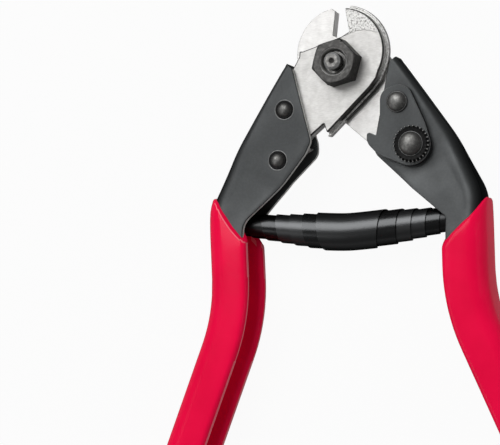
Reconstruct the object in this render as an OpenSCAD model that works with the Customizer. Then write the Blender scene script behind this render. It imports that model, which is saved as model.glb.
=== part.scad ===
// One-hand wire rope and cable cutter, shown open with its latch off.
// The tool lies on its back: +Z is the pivot axis towards the nut, +Y points to the jaw tips.
// Both arms are drawn once, as the right arm of the closed tool with z = 0 on the shear plane;
// the left arm is the same arm turned over about the Y axis.

/* [Arms] */
// Angle that each arm swings out from the closed line
half_open = 17.25; // [8:0.25:17.25]
// Gap between faces that slide on each other
slide_gap = 0.1; // [0.05:0.01:0.2]

/* [Blades] */
// Thickness of each blade
blade_t = 4.4; // [3.6:0.1:5]
// Radius of the round jaw head
head_r = 13.65; // [12.8:0.05:14.2]
// Height of the head's centre above the pivot
head_y = 3.9; // [3.4:0.1:4.4]
// Sideways offset of the head's centre from the pivot
head_x = 0.6; // [0.2:0.1:1]
// How far the forged flank stands proud of the ground face
flank_w = 1.2; // [0.4:0.1:1.4]
// Thickness of the forged flank, from the shear plane
flank_t = 1.9; // [1:0.1:1.9]
// Distance from the pivot to the jaw tip
tip_y = 17.4; // [16.6:0.1:17.8]
// Distance from the pivot to the throat of the cutting edge
throat_y = 10.5; // [9.6:0.1:11.5]
// Depth of the latch notch above the tooth's tip
notch_depth = 2.4; // [2.2:0.1:2.8]

/* [Handle pressings] */
// Thickness of the pressed steel
sheet_t = 2; // [1.5:0.1:2]
// Depth of the channel along the grip, outside
channel_h = 17; // [16:0.1:18]
// Width of the channel along the grip
grip_w = 10.8; // [10:0.1:12]
// Distance from the pivot to the end of the pressing
arm_reach = 170.5; // [150:0.5:180]
// Radius of the bend halfway down the grip
bend_r = 57; // [48:1:64]
// Lean of the grip above its bend
upper_lean = 17.9; // [17:0.1:18.5]
// Lean of the grip below its bend
lower_lean = 5.4; // [3:0.1:7]
// Distance from the pivot to the start of the joggle
joggle_y = 45; // [44:0.1:46]
// Length of the joggle
joggle_run = 9.5; // [8.5:0.1:10]

/* [Grips] */
// Thickness of the vinyl outside the channel
vinyl_t = 1.2; // [0.8:0.1:1.5]
// Thickness of the vinyl inside the channel
lining_t = 0.8; // [0.5:0.1:1]
// How far past the shoulder the left grip's edge starts
left_dip_y = -1.8; // [-3.5:0.1:1]
// Drop of the left grip's edge from the shoulder to the inside
left_dip_drop = 10; // [8:0.5:11]
// How far past the shoulder the right grip's edge starts
right_dip_y = 4.7; // [0:0.1:5.2]
// Drop of the right grip's edge from the shoulder to the inside
right_dip_drop = 7.5; // [6:0.5:9]

/* [Pivot] */
// Diameter of the pivot bolt
bolt_d = 8; // [7:0.1:8.5]
// Play between the bolt and the blades' bores, on the radius
bolt_play = 0.05; // [0.02:0.01:0.08]
// Width across the flats of the nut and the bolt's head
hex_af = 13; // [12:0.1:14]
// Height of the nut
nut_h = 6.5; // [5:0.1:7]
// Diameter of the bolt's reduced end
stub_d = 5.4; // [4.5:0.1:6]
// How far the bolt's end stands out of the nut
stub_out = 1.8; // [0.5:0.1:3]
// Thickness of the washer under the bolt's head
washer_t = 1; // [0.8:0.1:1.2]
// Diameter of that washer
washer_d = 16; // [14:0.5:17]

/* [Rivets] */
// Diameter of the rivets' shanks
rivet_d = 4; // [3:0.1:4.4]
// Diameter of the rivets' heads
rivet_head_d = 6.4; // [5.6:0.1:7]
// Height of the rivets' heads
rivet_head_h = 1.7; // [1.2:0.1:2]

/* [Latch] */
// Thickness of the latch plate
latch_t = 2.3; // [1.6:0.1:2.3]
// Play of the latch plate on its rivet, on the radius
latch_play = 0.05; // [0.02:0.01:0.08]
// Distance from the latch rivet to the thumb rivet
thumb_l = 14; // [13:0.1:15]
// Diameter of the serrated thumb disc
thumb_d = 11.4; // [10:0.1:12]
// Thickness of the thumb disc
thumb_t = 1.4; // [1:0.1:2]
// Serrations round the thumb disc
thumb_teeth = 28; // [20:1:32]
// Diameter of the thumb rivet's head
thumb_head_d = 8.2; // [7:0.1:9]
// Height of the thumb rivet's head
thumb_head_h = 2.2; // [1.6:0.1:2.6]
// Diameter of the washer on the latch rivet
latch_washer_d = 7.4; // [7:0.1:8]
// Thickness of that washer
latch_washer_t = 0.4; // [0.3:0.1:0.6]

/* [Spring] */
// Largest diameter of the double volute spring
spring_d = 12.2; // [11:0.1:12.4]
// Diameter of each small end of the spring
spring_end_d = 6.6; // [6.4:0.1:7]
// Thickness of the spring's strip
strip_t = 0.9; // [0.6:0.1:1]
// How far below the shoulder the spring's left end sits
left_seat_drop = 4.8; // [4.2:0.1:6]
// How far below the shoulder the spring's right end sits
right_seat_drop = 7.2; // [6:0.1:8]
// How far below the shoulder the spring's middle hangs
spring_drop = 10; // [9.2:0.1:10.6]
// Coils on each half of the spring
spring_coils = 5; // [4:1:6]
// Diameter of the studs that hold the spring's ends
stud_d = 3.4; // [3:0.1:3.4]
// Length of those studs inside the channel
stud_l = 4.5; // [3:0.5:4.5]

/* [Hidden] */
$fn = 64;
beyond = 40;

// Height of the shear plane over the rest plane, and levels from it in the arm's frame
shear_z = channel_h / 2 + vinyl_t;
near_face = -slide_gap / 2;
far_face = near_face - blade_t;
near_pad = near_face + sheet_t;
far_pad = far_face - sheet_t;
channel_half = channel_h / 2;
inner_half = channel_half - sheet_t;
latch_low = near_pad + slide_gap;
latch_top = latch_low + latch_t;
nut_top = nut_h - far_face;
washer_low = far_face - slide_gap / 2 - washer_t;

// Rivets and the corners of the blade, in the arm's frame
upper_rivet = [13.3, -17.9];
lower_rivet = [11.3, -33.7];
hidden_rivet = [7.5, -26.5];
throat = [-0.3, throat_y];
root = [1.8, throat_y - 2.1];
tip = [3, tip_y];
brow = [13.1, 1.1];
tooth = [-1.45, -21.55];
notch_apex = [0.35, tooth[1] + notch_depth];
cheek = [[-12.8, 3], [-12.6, -1.6], [-11.2, -4.9]];

// Corners of the pressing, in the arm's frame
top_outer = [16.8, -3.7];
top_inner = [14.2, -5];
flare = [26.2, -34];
nose = [2.3, -25.6];
belly = [3.2, -30];
crook = [8, -41.2];
knee = [13.4, -84.3];
shoulder_l = 34.8;
crook_l = 28.4;
top_radii = [1.5, 60, 15];
inner_radii = [6, 30, 4, 3, 1];
// Fuller edge of the pad that faces the other arm, for each arm, and its radii
right_lip = [[12, -16], [2.2, -25.4], [0.5, -29.6], [8.3, -44.3], [15.2, -55.1], [17.6, -58.8], [20, -52]];
left_lip = [[12, -16], [2.5, -24.8], [1.1, -29], [9.4, -43.2], [12, -42]];
lip_radii = [0, 4, 4, 1, 1, 0.5, 0];
upper_dir = [sin(upper_lean), cos(upper_lean)];
lower_dir = [sin(lower_lean), -cos(lower_lean)];
upper_out = [cos(upper_lean), -sin(upper_lean)];
lower_out = [cos(lower_lean), sin(lower_lean)];
lower_l = (arm_reach + knee[1] - grip_w / 2) / cos(lower_lean);
bend = upper_lean + lower_lean;
bend_centre = knee + unit(upper_dir + lower_dir) * bend_r / cos(bend / 2);
outer_path = concat([top_outer, flare], grip_side(grip_w / 2, shoulder_l));
shoulder = outer_path[2];
inner_path = concat([top_inner, nose, belly, crook], grip_side(-grip_w / 2, crook_l));

// Gap between the spring's ends and what is round them, and half the length of its middle coil
seat_gap = 0.3;
mid_coil = 4;
// Levels of its ends and its middle in the open tool
open_shoulder_y = turned(shoulder, half_open)[1];
left_seat_y = open_shoulder_y - left_seat_drop;
right_seat_y = open_shoulder_y - right_seat_drop;
spring_y = open_shoulder_y - spring_drop;

// How far down the shank of each blade reaches
front_reach = 39;
back_reach = 31;

// The latch plate's corners and their radii, from the latch rivet
latch_corners = [
    [-4.1, 5.2], [-6.9, -2.6], [-8.6, -5.4], [-9.75, -7.35], [-12.2, -5.05], [-13.4, -8.4],
    [-11.1, -13.4], [-1.4, -21.8], [5.7, -17.6], [6, -9], [4.7, 5.2]
];
latch_radii = [4, 2, 3, 0.5, 0.25, 3, 6, 4, 5, 15, 4.4];

function unit(v) = v / norm(v);
function left_of(v) = [-v[1], v[0]];
function turned(p, a) = [p[0] * cos(a) - p[1] * sin(a), p[0] * sin(a) + p[1] * cos(a)];
function reversed(p) = [for (i = [len(p) - 1:-1:0]) p[i]];
function zeros(n) = [for (i = [1:n]) 0];

// An open path moved to its left by d, with mitred corners
function moved(p, d) = [
    for (i = [0:len(p) - 1])
        let (j = max(i, 1), k = min(i, len(p) - 2))
        let (a = left_of(unit(p[j] - p[j - 1])), b = left_of(unit(p[k + 1] - p[k])))
        p[i] + d * (a + b) / (1 + a * b)
];

// The corner b between a and c, rounded to radius r
function round_corner(a, b, c, r, steps = 8) =
    let (u = unit(a - b), v = unit(c - b), half = acos(u * v) / 2)
    let (centre = b + unit(u + v) * r / sin(half))
    let (from = b + u * r / tan(half) - centre, to = b + v * r / tan(half) - centre)
    [for (k = [0:steps]) centre + r * unit(from * (1 - k / steps) + to * k / steps)];

// A closed outline with a radius for each corner
function rounded(p, r) = [
    for (i = [0:len(p) - 1])
        let (n = len(p))
        each (r[i] == 0 ? [p[i]] : round_corner(p[(i + n - 1) % n], p[i], p[(i + 1) % n], r[i]))
];

// One side of the grip, off outwards from its centre line, from high above the knee down
function grip_side(off, high) = [
    knee + upper_dir * high + off * upper_out,
    for (k = [0:12])
        let (a = 180 - upper_lean + bend * k / 12)
        bend_centre + (bend_r - off) * [cos(a), sin(a)],
    knee + lower_dir * lower_l + off * lower_out
];

// The pressing's outline, grown by d
function arm_outline(d) =
    let (outer = moved(outer_path, d), inner = moved(inner_path, -d))
    let (end = knee + lower_dir * lower_l, plain = len(outer) - 3 + len(inner) - 5 + 11)
    let (cap = [for (k = [1:11]) end + (grip_w / 2 + d) * turned(lower_out, -15 * k)])
    rounded(
        concat(outer, cap, reversed(inner)),
        concat(top_radii, zeros(plain), inner_radii)
    );

// How far from the middle a level line at y in the open tool meets the inside of the arm's spine
function seat_x(y) =
    let (point = turned([0, y], -half_open), along = turned([1, 0], -half_open))
    (upper_out * knee + grip_w / 2 - sheet_t - upper_out * point) / (upper_out * along);

// The space inside the spine, open towards the other arm: d in from the outer edge, foot_l past the
// grip's end
function hollow_outline(d, foot_l) =
    let (outer = moved(outer_path, -d), last = len(outer) - 1)
    let (top = outer[0] + beyond * unit(outer[0] - outer[1]))
    let (foot = outer[last] + foot_l * lower_dir)
    rounded(
        concat([top], outer, [foot, [-beyond, foot[1]], [-beyond, top[1]]]),
        concat([0, 0, top_radii[1], top_radii[2] - d], zeros(last + 1))
    );

// Side view of the channel: the pads above the joggle and the full depth below it
function side_view(near, far, half) = [
    [beyond, near], [-joggle_y, near], [-joggle_y - joggle_run, half], [-arm_reach - beyond, half],
    [-arm_reach - beyond, -half], [-joggle_y - joggle_run, -half], [-joggle_y, far], [beyond, far]
];

// Side view of the sheet on the near side alone
function near_sheet() = [
    [0, near_pad], [-joggle_y, near_pad], [-joggle_y - joggle_run, channel_half],
    [-beyond - 25, channel_half],
    [-beyond - 25, inner_half], [-joggle_y - joggle_run, inner_half], [-joggle_y, near_face], [0, near_face]
];

module right_arm() {
    translate([0, 0, shear_z]) rotate([0, 0, half_open]) children();
}

module left_arm() {
    translate([0, 0, shear_z]) rotate([0, 0, -half_open]) rotate([0, 180, 0]) children();
}

// A plan outline cut to a side view
module plan_and_side(plan, side) {
    intersection() {
        translate([0, 0, -beyond]) linear_extrude(2 * beyond) polygon(plan);
        translate([-beyond - 10, 0, 0]) rotate([90, 0, 90]) linear_extrude(3 * beyond) polygon(side);
    }
}

module upright(at, d, low, high) {
    translate([at[0], at[1], low]) cylinder(h = high - low, d = d);
}

// A spherical cap of diameter d and height h, standing on z = 0
module dome(d, h) {
    cap_r = (d * d / 4 + h * h) / (2 * h);
    intersection() {
        translate([0, 0, h - cap_r]) sphere(r = cap_r);
        cylinder(h = h, d = d);
    }
}

module hex_prism(h, chamfer_top, chamfer_low) {
    corner_r = hex_af / sqrt(3);
    face_r = hex_af / 2 - 0.2;
    wide_r = corner_r + 1;
    slope = (wide_r - face_r) * tan(30);
    intersection() {
        rotate([0, 0, 12]) cylinder(h = h, r = corner_r, $fn = 6);
        rotate_extrude() polygon([
            [0, 0], [chamfer_low ? face_r : wide_r, 0], [wide_r, chamfer_low ? slope : 0.5],
            [wide_r, h - (chamfer_top ? slope : 0.5)], [chamfer_top ? face_r : wide_r, h], [0, h]
        ]);
    }
}

// Flat shape of a blade, its forged edges grown by grow; reach is the shank's length
module blade_plan(grow, reach, corner) {
    rim = moved(concat(cheek, corner), -grow);
    difference() {
        union() {
            translate([head_x, head_y]) circle(r = head_r + grow, $fn = 128);
            polygon(concat(
                rim,
                [[5, -30], [8.6, -reach], [15.6, -reach], [18.6, -24], [18, -16], [14.8, -5.1], brow, [0, 6]]
            ));
        }
        polygon([throat, root, brow, brow + [4, 0], [20, 24], tip + (tip - throat) * 0.3, tip]);
        polygon([tip, [20, tip_y], [20, 30], [-20, 30], [-20, tip_y + grow + 0.2], [2, tip_y + grow + 0.2]]);
    }
}

module blade(reach, rivets, corner, notched) {
    difference() {
        union() {
            translate([0, 0, far_face]) linear_extrude(blade_t) blade_plan(0, reach, corner);
            translate([0, 0, near_face - flank_t])
                linear_extrude(flank_t) blade_plan(flank_w, reach, corner);
        }
        upright([0, 0], bolt_d + 2 * bolt_play, far_face - 1, 1);
        for (at = rivets) upright(at, rivet_d, far_face - 1, 1);
        if (notched) {
            translate([0, 0, far_face - 1]) linear_extrude(blade_t + 2) polygon([
                notch_apex, notch_apex - [0.4, 0.15], notch_apex - [0.5, 0.6], tooth,
                tooth + [0.35, -1], tooth - [4, 1.1], tooth - [4, 6], tooth + [7, -6],
                notch_apex + [3.1, -4.5]
            ]);
        }
    }
}

module pressing(rivets, lip, seat_y) {
    difference() {
        union() {
            plan_and_side(arm_outline(0), side_view(near_pad, far_pad, channel_half));
            plan_and_side(rounded(lip, lip_radii), near_sheet());
        }
        plan_and_side(hollow_outline(sheet_t, beyond), side_view(near_face, far_face, inner_half));
        for (at = rivets) upright(at, rivet_d, far_pad - 1, near_pad + 1);
        seat(seat_y, -1) cylinder(h = sheet_t + 2, d = stud_d);
    }
}

// Turns +Z to run level outwards in the open tool at y, from in_l inside the spine's inner face
module seat(y, in_l) {
    at = turned([seat_x(y) + in_l, y], -half_open);
    translate([at[0], at[1], 0]) rotate([0, 90, -half_open]) children();
}

module grip(dip_y, dip_drop, seat_y) {
    start = shoulder - [1, dip_y];
    inside = start - [14, dip_drop];
    chord = inside - start;
    dip_r = 40;
    rise = sqrt(dip_r * dip_r - chord * chord / 4);
    dip_centre = (start + inside) / 2 - left_of(unit(chord)) * rise;
    difference() {
        plan_and_side(
            arm_outline(vinyl_t),
            side_view(near_pad + vinyl_t, far_pad - vinyl_t, channel_half + vinyl_t)
        );
        plan_and_side(
            hollow_outline(sheet_t + lining_t, 2),
            side_view(near_face - lining_t, far_face + lining_t, inner_half - lining_t)
        );
        difference() {
            plan_and_side(arm_outline(0), side_view(near_pad, far_pad, channel_half));
            plan_and_side(hollow_outline(sheet_t, beyond), side_view(near_face, far_face, inner_half));
        }
        upright(dip_centre, 2 * dip_r, -beyond, beyond);
        translate([-beyond, start[1] + 0.3, -beyond]) cube([3 * beyond, 3 * beyond, 2 * beyond]);
        seat(seat_y, -stud_l) cylinder(h = stud_l, d = spring_end_d + 2 * seat_gap);
    }
}

// A rivet from low to high, with a head at each end that is not flush
module rivet(at, low, high, low_head, high_head) {
    upright(at, rivet_d, low, high);
    if (high_head) translate([at[0], at[1], high]) dome(rivet_head_d, rivet_head_h);
    if (low_head) translate([at[0], at[1], low]) mirror([0, 0, 1]) dome(rivet_head_d, rivet_head_h);
}

module front_blade() {
    color("lightgray") left_arm() blade(front_reach, [upper_rivet, lower_rivet], [tooth], true);
}

module back_blade() {
    color("silver") right_arm() blade(back_reach, [upper_rivet, hidden_rivet], [[0.9, -25.8]], false);
}

module pivot_bolt() {
    shank_top = nut_top - 2.2;
    stub_top = nut_top + stub_out;
    color("dimgray") translate([0, 0, shear_z]) {
        translate([0, 0, -shear_z]) hex_prism(shear_z + washer_low, false, true);
        difference() {
            rotate_extrude() polygon([
                [0, washer_low], [bolt_d / 2, washer_low], [bolt_d / 2, shank_top - 0.6],
                [bolt_d / 2 - 0.6, shank_top], [stub_d / 2, shank_top], [stub_d / 2, stub_top - 0.7],
                [stub_d / 2 - 0.7, stub_top], [0, stub_top]
            ]);
            translate([0, 0, stub_top - 0.8]) cylinder(h = 1, d1 = 0.2, d2 = 2.2, $fn = 32);
        }
    }
}

module pivot_washer() {
    color("gray") translate([0, 0, shear_z + washer_low]) difference() {
        cylinder(h = washer_t, d = washer_d);
        translate([0, 0, -1]) cylinder(h = washer_t + 2, d = bolt_d);
    }
}

module pivot_nut() {
    color("dimgray") translate([0, 0, shear_z - far_face]) difference() {
        hex_prism(nut_h, true, false);
        translate([0, 0, -1]) cylinder(h = nut_h + 2, d = bolt_d);
        translate([0, 0, nut_h - 0.5]) cylinder(h = 1, d1 = bolt_d, d2 = bolt_d + 1.6);
    }
}

module left_handle() {
    color("black") left_arm() pressing([upper_rivet, lower_rivet], left_lip, left_seat_y);
}

module right_handle() {
    color("black") right_arm() difference() {
        pressing([upper_rivet, hidden_rivet], right_lip, right_seat_y);
        translate([hidden_rivet[0], hidden_rivet[1], near_pad - 1.2])
            cylinder(h = 1.2, d1 = rivet_d, d2 = rivet_d + 2.4);
    }
}

module left_grip() {
    color("crimson") left_arm() grip(left_dip_y, left_dip_drop, left_seat_y);
}

module right_grip() {
    color("crimson") right_arm() grip(right_dip_y, right_dip_drop, right_seat_y);
}

module left_upper_rivet() {
    color("black") left_arm() rivet(upper_rivet, far_pad, near_pad, true, true);
}

module left_lower_rivet() {
    color("black") left_arm() rivet(lower_rivet, far_pad, near_pad, true, true);
}

module right_lower_rivet() {
    color("black") right_arm() {
        rivet(hidden_rivet, far_pad, near_pad, true, false);
        translate([hidden_rivet[0], hidden_rivet[1], near_pad - 1.2])
            cylinder(h = 1.2, d1 = rivet_d, d2 = rivet_d + 2.4);
    }
}

module latch_rivet() {
    color("black") right_arm()
        rivet(upper_rivet, far_pad, latch_top + slide_gap + latch_washer_t, true, true);
}

module latch_washer() {
    color("dimgray") right_arm() difference() {
        upright(upper_rivet, latch_washer_d, latch_top + slide_gap, latch_top + slide_gap + latch_washer_t);
        upright(upper_rivet, rivet_d, latch_top - 1, latch_top + 2);
    }
}

module latch_plate() {
    thumb = upper_rivet - [0, thumb_l];
    color("black") right_arm() difference() {
        translate([upper_rivet[0], upper_rivet[1], latch_low])
            linear_extrude(latch_t) polygon(rounded(latch_corners, latch_radii));
        upright(upper_rivet, rivet_d + 2 * latch_play, latch_low - 1, latch_top + 1);
        upright(thumb, rivet_d, latch_low - 1, latch_top + 1);
    }
}

module thumb_disc() {
    thumb = upper_rivet - [0, thumb_l];
    color("black") right_arm() difference() {
        translate([thumb[0], thumb[1], latch_top]) linear_extrude(thumb_t) polygon([
            for (i = [0:2 * thumb_teeth - 1])
                let (r = thumb_d / 2 - (i % 2) * 0.5, a = 180 * i / thumb_teeth)
                r * [cos(a), sin(a)]
        ]);
        upright(thumb, rivet_d, latch_top - 1, latch_top + thumb_t + 1);
    }
}

module thumb_rivet() {
    thumb = upper_rivet - [0, thumb_l];
    color("dimgray") right_arm() {
        upright(thumb, rivet_d, latch_low, latch_top + thumb_t);
        translate([thumb[0], thumb[1], latch_top + thumb_t]) dome(thumb_head_d, thumb_head_h);
    }
}

module spring_stud(seat_y) {
    seat(seat_y, -stud_l) cylinder(h = stud_l + sheet_t - 0.2, d = stud_d);
}

module left_spring_stud() {
    color("gray") left_arm() spring_stud(left_seat_y);
}

module right_spring_stud() {
    color("gray") right_arm() spring_stud(right_seat_y);
}

// The spring's coils from the second one out to one end, along +X to half_l, made smaller by inset
module outer_coils(half_l, inset) {
    step_l = (half_l - mid_coil) / spring_coils;
    step_r = (spring_d - spring_end_d) / 2 / spring_coils;
    rotate([0, 90, 0]) rotate_extrude() polygon(concat(
        [[0, mid_coil - 2]],
        [for (k = [1:spring_coils])
            let (r = spring_d / 2 - step_r * k - inset, end = k == spring_coils ? 1 : -1)
            each [
                [r, mid_coil + step_l * (k - 1) - (k == 1 ? 2 : inset)],
                [r, mid_coil + step_l * k + end * inset]
            ]
        ],
        [[0, half_l + inset]]
    ));
}

module coils(inset) {
    rotate([0, 90, 0]) cylinder(h = 2 * (mid_coil - inset), d = spring_d - 2 * inset, center = true);
    for (side = [0, 1]) {
        seat_y = side == 0 ? right_seat_y : left_seat_y;
        reach = [seat_x(seat_y) - seat_gap, seat_y - spring_y];
        mirror([side, 0, 0]) rotate([0, 0, atan(reach[1] / reach[0])]) outer_coils(norm(reach) - 0.2, inset);
    }
}

module volute_spring() {
    color("black") translate([0, spring_y, shear_z]) difference() {
        coils(0);
        coils(strip_t);
    }
}

front_blade();
back_blade();
pivot_bolt();
pivot_washer();
pivot_nut();
left_handle();
right_handle();
left_grip();
right_grip();
left_upper_rivet();
left_lower_rivet();
right_lower_rivet();
latch_rivet();
latch_washer();
latch_plate();
thumb_disc();
thumb_rivet();
left_spring_stud();
right_spring_stud();
volute_spring();
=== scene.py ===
import bpy, bmesh, math
from mathutils import Matrix, Vector


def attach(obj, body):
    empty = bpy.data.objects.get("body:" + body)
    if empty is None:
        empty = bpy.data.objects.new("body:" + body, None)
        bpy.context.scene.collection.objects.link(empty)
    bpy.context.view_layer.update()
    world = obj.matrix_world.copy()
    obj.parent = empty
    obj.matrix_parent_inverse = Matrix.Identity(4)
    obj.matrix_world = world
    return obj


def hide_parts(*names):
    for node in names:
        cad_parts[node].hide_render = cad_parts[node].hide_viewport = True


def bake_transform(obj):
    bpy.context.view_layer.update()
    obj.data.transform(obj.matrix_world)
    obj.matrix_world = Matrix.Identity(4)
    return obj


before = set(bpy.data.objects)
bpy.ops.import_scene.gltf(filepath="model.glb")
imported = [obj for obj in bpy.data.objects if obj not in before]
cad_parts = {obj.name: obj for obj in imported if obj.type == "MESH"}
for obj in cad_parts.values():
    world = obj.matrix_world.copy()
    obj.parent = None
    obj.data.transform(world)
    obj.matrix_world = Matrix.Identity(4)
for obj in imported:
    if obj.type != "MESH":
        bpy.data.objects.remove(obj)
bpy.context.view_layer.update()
mm = 0.001   # the pieces below are drawn in millimetres

# where the camera stands, the way it looks, its roll: degrees; distance and pivot height: metres
view = {
    "side": 18.0, "height": -8.0, "distance": 0.700, "aimSide": 20.43, "aimHeight": -4.0,
    "roll": 2.0, "lens": 160.9, "sensor": 36, "pivotHeight": 0.0097, "clipStart": 0.01,
}


def polar(side, height, length=1.0):
    s, h = math.radians(side), math.radians(height)
    return Vector((math.sin(s) * math.cos(h), math.sin(h), math.cos(s) * math.cos(h))) * length


def makeCamera(v):
    turn = Matrix.Rotation(math.radians(-v["roll"]), 3, "Z")
    back = polar(v["aimSide"], v["aimHeight"])
    right = Vector((0, 1, 0)).cross(back).normalized()
    up = back.cross(right)
    spot = turn @ polar(v["side"], v["height"], v["distance"]) + Vector((0, 0, v["pivotHeight"]))
    axes = Matrix([turn @ right, turn @ up, turn @ back]).transposed()
    data = bpy.data.cameras.new("camera")
    data.lens = v["lens"]
    data.sensor_width = v["sensor"]
    data.clip_start = v["clipStart"]
    camera = bpy.data.objects.new("camera", data)
    camera.matrix_world = Matrix.Translation(spot) @ axes.to_4x4()
    bpy.context.collection.objects.link(camera)
    bpy.context.scene.camera = camera


makeCamera(view)
bpy.context.scene.view_settings.view_transform = "Standard"
print("camera set")


def isSocket(value):
    return hasattr(value, "is_linked")


def treeOf(owner):
    # a geometry tree is its own, a material or the world has one
    return owner if isinstance(owner, bpy.types.NodeTree) else owner.node_tree


def plug(owner, socket, value):
    if isSocket(value):
        treeOf(owner).links.new(value, socket)
    else:
        socket.default_value = value


def addNode(owner, kind, **values):
    # a name is one of the node's settings or, with _ for a space, one of its sockets
    made = treeOf(owner).nodes.new(kind)
    for key, value in values.items():
        if hasattr(made, key):
            setattr(made, key, value)
        else:
            plug(owner, made.inputs[key.replace("_", " ")], value)
    return made


def dress(mat, **sockets):
    shader = mat.node_tree.nodes["Principled BSDF"]
    for key, value in sockets.items():
        plug(mat, shader.inputs[key.replace("_", " ")], value)


def newMaterial(name, colour, roughness, metallic=0.0, **sockets):
    mat = bpy.data.materials.new(name)
    mat.use_nodes = True
    dress(mat, Base_Color=(*colour, 1), Roughness=roughness, Metallic=metallic, **sockets)
    return mat


def objectPoint(mat, scale=(1, 1, 1), turn=(0, 0, 0), shift=(0, 0, 0)):
    coord = addNode(mat, "ShaderNodeTexCoord")
    place = addNode(mat, "ShaderNodeMapping", Vector=coord.outputs["Object"], Scale=scale, Rotation=turn,
                    Location=shift)
    return place.outputs["Vector"]


def noise(mat, vector, scale, detail=3, roughness=0.5):
    made = addNode(mat, "ShaderNodeTexNoise", Vector=vector, Scale=scale, Detail=detail, Roughness=roughness)
    return made.outputs["Fac"]


def ramp(owner, value, low, high, lowResult=0.0, highResult=1.0):
    made = addNode(owner, "ShaderNodeMapRange", interpolation_type="SMOOTHSTEP", Value=value, From_Min=low,
                   From_Max=high, To_Min=lowResult, To_Max=highResult)
    return made.outputs["Result"]


def mixColour(mat, share, a, b):
    made = addNode(mat, "ShaderNodeMix", data_type="RGBA", Factor=share)
    for socket, colour in ((made.inputs[6], a), (made.inputs[7], b)):
        plug(mat, socket, colour if isSocket(colour) else (*colour, 1))
    return made.outputs[2]


def mathNode(owner, operation, a, b=0.0):
    made = addNode(owner, "ShaderNodeMath", operation=operation)
    plug(owner, made.inputs[0], a)
    plug(owner, made.inputs[1], b)
    return made.outputs[0]


def times(owner, a, b):
    return mathNode(owner, "MULTIPLY", a, b)


def plus(owner, a, b):
    return mathNode(owner, "ADD", a, b)


def minus(owner, a, b):
    return mathNode(owner, "SUBTRACT", a, b)


def larger(owner, a, b):
    return mathNode(owner, "MAXIMUM", a, b)


def splitPoint(mat, shift=(0, 0, 0)):
    return addNode(mat, "ShaderNodeSeparateXYZ", Vector=objectPoint(mat, shift=shift)).outputs


def bump(mat, height, strength, distance):
    made = addNode(mat, "ShaderNodeBump", Strength=strength, Distance=distance, Height=height)
    dress(mat, Normal=made.outputs["Normal"])


# in all these materials noise scales are per metre, places and depths in metres; bump is strength and depth
groundFace = {
    "roughness": 0.46, "metallic": 0.4, "brushing": (900, 5200, 900), "brushTurn": 0.5, "clouds": 420,
    "etchShift": (-0.0075, -0.0098, 0), "etchSag": 38.0, "etchWaves": 900, "etchWobble": 0.0009,
    "etchEdge": (0.0004, 0.0008), "etchLeft": (-0.009, -0.0085), "etchedGrey": (0.74, 0.735, 0.72),
    "etchedShare": 0.8, "pits": 1700, "pitLevels": (0.50, 0.42), "pitGrey": (0.16, 0.155, 0.145),
    "pitShare": 0.85, "etchedBump": (0.8, 0.00022), "plainBump": (0.12, 0.00006), "polish": (0.52, 0.42),
}


def groundSteel(name, dull, bright, etched):
    g = groundFace
    mat = newMaterial(name, bright, g["roughness"], g["metallic"])
    brushed = noise(mat, objectPoint(mat, g["brushing"], (0, 0, g["brushTurn"])), 1.0)
    cloud = noise(mat, objectPoint(mat), g["clouds"], 4)
    both = plus(mat, times(mat, brushed, 0.5), times(mat, cloud, 0.5))
    colour = mixColour(mat, ramp(mat, both, 0.35, 0.65), dull, bright)
    if etched:
        # the rough patch near the jaw's point ends in a sagging edge
        x, y = splitPoint(mat, g["etchShift"])[:2]
        sag = times(mat, times(mat, x, x), g["etchSag"])
        wobble = times(mat, noise(mat, objectPoint(mat), g["etchWaves"], 2), g["etchWobble"])
        above = ramp(mat, plus(mat, plus(mat, y, sag), wobble), *g["etchEdge"])
        inside = times(mat, above, ramp(mat, x, *g["etchLeft"]))
        pits = noise(mat, objectPoint(mat), g["pits"], 5, 0.75)
        spots = times(mat, ramp(mat, pits, *g["pitLevels"]), inside)
        colour = mixColour(mat, times(mat, inside, g["etchedShare"]), colour, g["etchedGrey"])
        colour = mixColour(mat, times(mat, spots, g["pitShare"]), colour, g["pitGrey"])
        bump(mat, plus(mat, times(mat, both, 0.1), times(mat, pits, inside)), *g["etchedBump"])
    else:
        bump(mat, both, *g["plainBump"])
    dress(mat, Base_Color=colour, Roughness=ramp(mat, both, 0.3, 0.7, *g["polish"]))
    return mat


forgedSkin = {
    "colour": (0.25, 0.25, 0.24), "greys": ((0.20, 0.20, 0.195), (0.58, 0.58, 0.56)),
    "roughness": 0.55, "metallic": 0.75, "grain": 1500, "bump": (0.5, 0.0002),
}


def forgedSteel(f):
    mat = newMaterial("forgedSteel", f["colour"], f["roughness"], f["metallic"])
    grain = noise(mat, objectPoint(mat), f["grain"], 5, 0.65)
    dress(mat, Base_Color=mixColour(mat, ramp(mat, grain, 0.35, 0.65), *f["greys"]))
    bump(mat, grain, *f["bump"])
    return mat


# the blades' walls are painted black as shade, and pale grey as painted light below the top edge at the jaw
# and at the catch tooth
paintedWallLight = {
    "top": (0.01335, 0.01300), "jaw": (-0.0075, -0.0005), "tooth": (-0.0172, -0.0178),
    "greys": ((0.36, 0.357, 0.345), (0.74, 0.735, 0.72)),
    "shadeBlacks": ((0.028, 0.027, 0.026), (0.05, 0.049, 0.047)),
    "colour": (0.05, 0.05, 0.048), "roughness": (0.5, 0.34), "metallic": (0.12, 0.6), "shine": (0.15, 0.5),
    "grain": 900, "coarse": 1700, "bump": (0.2, 0.0001),
}


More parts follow.
